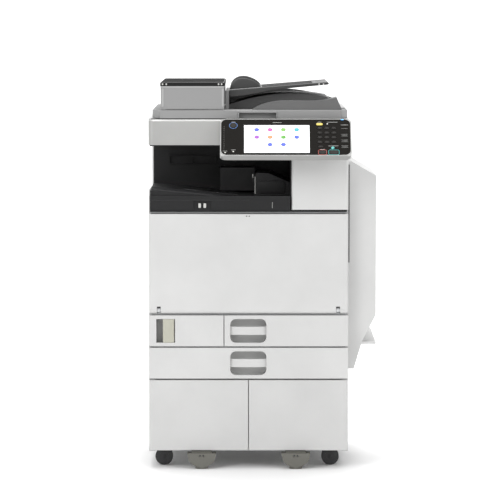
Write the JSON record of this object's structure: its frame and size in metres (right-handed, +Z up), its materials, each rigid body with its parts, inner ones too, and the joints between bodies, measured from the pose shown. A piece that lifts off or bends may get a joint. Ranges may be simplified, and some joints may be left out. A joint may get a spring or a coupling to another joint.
{
  "type": "floor-standing multifunction copier",
  "caption": "Floor-standing office copier with a document feeder, tilting control panel, in-body output tray, paper drawers and a two-door cabinet on casters.",
  "frame": {"origin": "middle of the whole machine's footprint, on the floor", "axes": "+Z up, +X to the right as the operator sees it, +Y to the back, so the front faces -Y"},
  "size_m": [0.67, 0.7, 1.1487],
  "materials": {
    "cabinet_white": "satin powder coat",
    "cover_white": "fine moulded grain",
    "frame_steel": "zinc plated",
    "dark_plastic": "moulded grain",
    "silver_plastic": "metallic paint",
    "clear_glass": "polished",
    "foot_grey": "moulded grain",
    "unit_black": "moulded grain",
    "toner_plastic": "smooth",
    "caster_black": "moulded nylon",
    "wheel_black": "moulded nylon",
    "panel_black": "gloss face in a silver bezel",
    "screen_white": "lit display",
    "flap_beige": "translucent",
    "feeder_dark": "moulded grain",
    "feeder_grey": "moulded grain",
    "roller_rubber": "matte",
    "key_teal": "translucent",
    "key_red": "translucent",
    "key_yellow": "translucent",
    "key_blue": "translucent",
    "key_grey": "smooth"
  },
  "bodies": {
    "chassis": {"cabinet_body": "cabinet_white", "cavity_liner": "dark_plastic", "drum_units": "unit_black", "exit_unit": "dark_plastic", "fusing_unit": "unit_black", "left_cover": "cover_white", "main_frame": "frame_steel", "output_tray": "dark_plastic", "panel_arm": "frame_steel", "platen_glass": "clear_glass", "rear_caster_forks": "caster_black", "rear_cover": "cover_white", "right_cover": "cover_white", "scanner_front_cover": "silver_plastic", "scanner_housing": "cover_white", "stabiliser_feet": "foot_grey", "switch_panel": "cover_white", "toner_bottles": "toner_plastic"},
    "front_door": {"front_door": "cover_white"},
    "paper_tray_1": {"paper_tray_1": "cover_white"},
    "paper_tray_2": {"paper_tray_2": "cover_white"},
    "cabinet_door_left": {"cabinet_door_left": "cabinet_white"},
    "cabinet_door_right": {"cabinet_door_right": "cabinet_white"},
    "side_door": {"side_door": "cover_white"},
    "bypass_tray": {"bypass_tray": "cover_white"},
    "power_switch": {"power_switch": "unit_black"},
    "switch_cover": {"switch_cover": "flap_beige"},
    "scanner_carriage": {"scanner_carriage": "dark_plastic"},
    "adf_feeder_cover": {"adf_feeder_cover": "feeder_grey"},
    "adf_input_tray": {"adf_input_tray": "feeder_dark"},
    "adf_guide_front": {"adf_guide_front": "feeder_dark"},
    "adf_guide_rear": {"adf_guide_rear": "feeder_dark"},
    "adf_feed_roller": {"adf_feed_roller": "roller_rubber"},
    "caster_fork_left": {"caster_fork_left": "caster_black"},
    "caster_fork_right": {"caster_fork_right": "caster_black"},
    "key_0": {"key_0": "key_grey"},
    "key_1": {"key_1": "key_grey"},
    "key_2": {"key_2": "key_grey"},
    "key_3": {"key_3": "key_grey"},
    "key_4": {"key_4": "key_grey"},
    "key_5": {"key_5": "key_grey"},
    "key_6": {"key_6": "key_grey"},
    "key_7": {"key_7": "key_grey"},
    "key_8": {"key_8": "key_grey"},
    "key_9": {"key_9": "key_grey"},
    "key_clear": {"key_clear": "key_grey"},
    "key_hash": {"key_hash": "key_grey"},
    "key_home": {"key_home": "key_blue"},
    "key_reset": {"key_reset": "key_yellow"},
    "key_star": {"key_star": "key_grey"},
    "key_start": {"key_start": "key_teal"},
    "key_stop": {"key_stop": "key_red"},
    "caster_wheel_front_left": {"caster_wheel_front_left": "wheel_black"},
    "caster_wheel_front_right": {"caster_wheel_front_right": "wheel_black"},
    "caster_wheel_rear_left": {"caster_wheel_rear_left": "wheel_black"},
    "caster_wheel_rear_right": {"caster_wheel_rear_right": "wheel_black"},
    "document_feeder": {"adf_base": "feeder_dark", "adf_exit_tray": "feeder_grey"},
    "control_panel": {"panel_housing": "panel_black", "touch_screen": "screen_white"}
  },
  "joints": [
    {"name": "cabinet_door_left_swing", "type": "hinge", "parent": "chassis", "child": "cabinet_door_left", "pos_m": [-0.325, -0.225, 0.15], "axis": [0, 0, -1], "range_deg": [0, 110]},
    {"name": "cabinet_door_right_swing", "type": "hinge", "parent": "chassis", "child": "cabinet_door_right", "pos_m": [0.242, -0.225, 0.15], "axis": [0, 0, 1], "range_deg": [0, 110]},
    {"name": "front_door_swing", "type": "hinge", "parent": "chassis", "child": "front_door", "pos_m": [-0.0415, -0.225, 0.468], "axis": [1, 0, 0], "range_deg": [0, 90]},
    {"name": "paper_tray_1_slide", "type": "slide", "parent": "chassis", "child": "paper_tray_1", "axis": [0, -1, 0], "range_m": [0, 0.42]},
    {"name": "paper_tray_2_slide", "type": "slide", "parent": "chassis", "child": "paper_tray_2", "axis": [0, -1, 0], "range_m": [0, 0.42]},
    {"name": "side_door_swing", "type": "hinge", "parent": "chassis", "child": "side_door", "pos_m": [0.2586, 0.244, 0.6], "axis": [0, 0, 1], "range_deg": [0, 80]},
    {"name": "bypass_tray_swing", "type": "hinge", "parent": "side_door", "child": "bypass_tray", "pos_m": [0.3285, 0.0325, 0.487], "axis": [0, 1, 0], "range_deg": [0, 65]},
    {"name": "power_switch_rock", "type": "hinge", "parent": "chassis", "child": "power_switch", "pos_m": [-0.2775, -0.205, 0.40725], "axis": [1, 0, 0], "range_deg": [0, 12]},
    {"name": "switch_cover_swing", "type": "hinge", "parent": "chassis", "child": "switch_cover", "pos_m": [-0.262, -0.232, 0.40725], "axis": [0, 0, 1], "range_deg": [0, 100]},
    {"name": "scanner_carriage_slide", "type": "slide", "parent": "chassis", "child": "scanner_carriage", "axis": [1, 0, 0], "range_m": [0, 0.377]},
    {"name": "document_feeder_lift", "type": "hinge", "parent": "chassis", "child": "document_feeder", "pos_m": [-0.0415, 0.341, 1.044], "axis": [-1, 0, 0], "range_deg": [0, 70]},
    {"name": "feeder_cover_lift", "type": "hinge", "parent": "document_feeder", "child": "adf_feeder_cover", "pos_m": [-0.29, 0.006, 1.0668], "axis": [0, -1, 0], "range_deg": [0, 75]},
    {"name": "input_tray_lift", "type": "hinge", "parent": "document_feeder", "child": "adf_input_tray", "pos_m": [-0.104, 0.006, 1.107], "axis": [0, -1, 0], "range_deg": [0, 40]},
    {"name": "front_guide_slide", "type": "slide", "parent": "adf_input_tray", "child": "adf_guide_front", "axis": [0, 1, 0], "range_m": [0, 0.09]},
    {"name": "rear_guide_slide", "type": "slide", "parent": "adf_input_tray", "child": "adf_guide_rear", "axis": [0, 1, 0], "range_m": [-0.09, 0]},
    {"name": "feed_roller_spin", "type": "hinge", "parent": "document_feeder", "child": "adf_feed_roller", "pos_m": [-0.132, 0.006, 1.111], "axis": [0, 1, 0], "continuous": true},
    {"name": "control_panel_tilt", "type": "hinge", "parent": "chassis", "child": "control_panel", "pos_m": [0.067, -0.2505, 1.017], "axis": [-1, 0, 0], "range_deg": [0, 30]},
    {"name": "front_left_caster_swivel", "type": "hinge", "parent": "chassis", "child": "caster_fork_left", "pos_m": [-0.274, -0.15, 0.06], "axis": [0, 0, 1], "continuous": true},
    {"name": "front_right_caster_swivel", "type": "hinge", "parent": "chassis", "child": "caster_fork_right", "pos_m": [0.183, -0.15, 0.06], "axis": [0, 0, 1], "continuous": true},
    {"name": "front_left_wheel_spin", "type": "hinge", "parent": "caster_fork_left", "child": "caster_wheel_front_left", "pos_m": [-0.292, -0.15, 0.026], "axis": [0, 1, 0], "continuous": true},
    {"name": "front_right_wheel_spin", "type": "hinge", "parent": "caster_fork_right", "child": "caster_wheel_front_right", "pos_m": [0.201, -0.15, 0.026], "axis": [0, 1, 0], "continuous": true},
    {"name": "rear_left_wheel_spin", "type": "hinge", "parent": "chassis", "child": "caster_wheel_rear_left", "pos_m": [-0.292, 0.265, 0.026], "axis": [0, 1, 0], "continuous": true},
    {"name": "rear_right_wheel_spin", "type": "hinge", "parent": "chassis", "child": "caster_wheel_rear_right", "pos_m": [0.201, 0.265, 0.026], "axis": [0, 1, 0], "continuous": true},
    {"name": "key_0_press", "type": "slide", "parent": "control_panel", "child": "key_0", "axis": [0, 0.7431, -0.6691], "range_m": [0, 0.0015], "stiffness_N_per_m": 150},
    {"name": "key_1_press", "type": "slide", "parent": "control_panel", "child": "key_1", "axis": [0, 0.7431, -0.6691], "range_m": [0, 0.0015], "stiffness_N_per_m": 150},
    {"name": "key_2_press", "type": "slide", "parent": "control_panel", "child": "key_2", "axis": [0, 0.7431, -0.6691], "range_m": [0, 0.0015], "stiffness_N_per_m": 150},
    {"name": "key_3_press", "type": "slide", "parent": "control_panel", "child": "key_3", "axis": [0, 0.7431, -0.6691], "range_m": [0, 0.0015], "stiffness_N_per_m": 150},
    {"name": "key_4_press", "type": "slide", "parent": "control_panel", "child": "key_4", "axis": [0, 0.7431, -0.6691], "range_m": [0, 0.0015], "stiffness_N_per_m": 150},
    {"name": "key_5_press", "type": "slide", "parent": "control_panel", "child": "key_5", "axis": [0, 0.7431, -0.6691], "range_m": [0, 0.0015], "stiffness_N_per_m": 150},
    {"name": "key_6_press", "type": "slide", "parent": "control_panel", "child": "key_6", "axis": [0, 0.7431, -0.6691], "range_m": [0, 0.0015], "stiffness_N_per_m": 150},
    {"name": "key_7_press", "type": "slide", "parent": "control_panel", "child": "key_7", "axis": [0, 0.7431, -0.6691], "range_m": [0, 0.0015], "stiffness_N_per_m": 150},
    {"name": "key_8_press", "type": "slide", "parent": "control_panel", "child": "key_8", "axis": [0, 0.7431, -0.6691], "range_m": [0, 0.0015], "stiffness_N_per_m": 150},
    {"name": "key_9_press", "type": "slide", "parent": "control_panel", "child": "key_9", "axis": [0, 0.7431, -0.6691], "range_m": [0, 0.0015], "stiffness_N_per_m": 150},
    {"name": "key_clear_press", "type": "slide", "parent": "control_panel", "child": "key_clear", "axis": [0, 0.7431, -0.6691], "range_m": [0, 0.0015], "stiffness_N_per_m": 150},
    {"name": "key_hash_press", "type": "slide", "parent": "control_panel", "child": "key_hash", "axis": [0, 0.7431, -0.6691], "range_m": [0, 0.0015], "stiffness_N_per_m": 150},
    {"name": "key_home_press", "type": "slide", "parent": "control_panel", "child": "key_home", "axis": [0, 0.7431, -0.6691], "range_m": [0, 0.0015], "stiffness_N_per_m": 150},
    {"name": "key_reset_press", "type": "slide", "parent": "control_panel", "child": "key_reset", "axis": [0, 0.7431, -0.6691], "range_m": [0, 0.0015], "stiffness_N_per_m": 150},
    {"name": "key_star_press", "type": "slide", "parent": "control_panel", "child": "key_star", "axis": [0, 0.7431, -0.6691], "range_m": [0, 0.0015], "stiffness_N_per_m": 150},
    {"name": "key_start_press", "type": "slide", "parent": "control_panel", "child": "key_start", "axis": [0, 0.7431, -0.6691], "range_m": [0, 0.0015], "stiffness_N_per_m": 150},
    {"name": "key_stop_press", "type": "slide", "parent": "control_panel", "child": "key_stop", "axis": [0, 0.7431, -0.6691], "range_m": [0, 0.0015], "stiffness_N_per_m": 150}
  ],
  "couplings": [
    {"joint": "rear_guide_slide", "follows": "front_guide_slide", "ratio": -1}
  ]
}
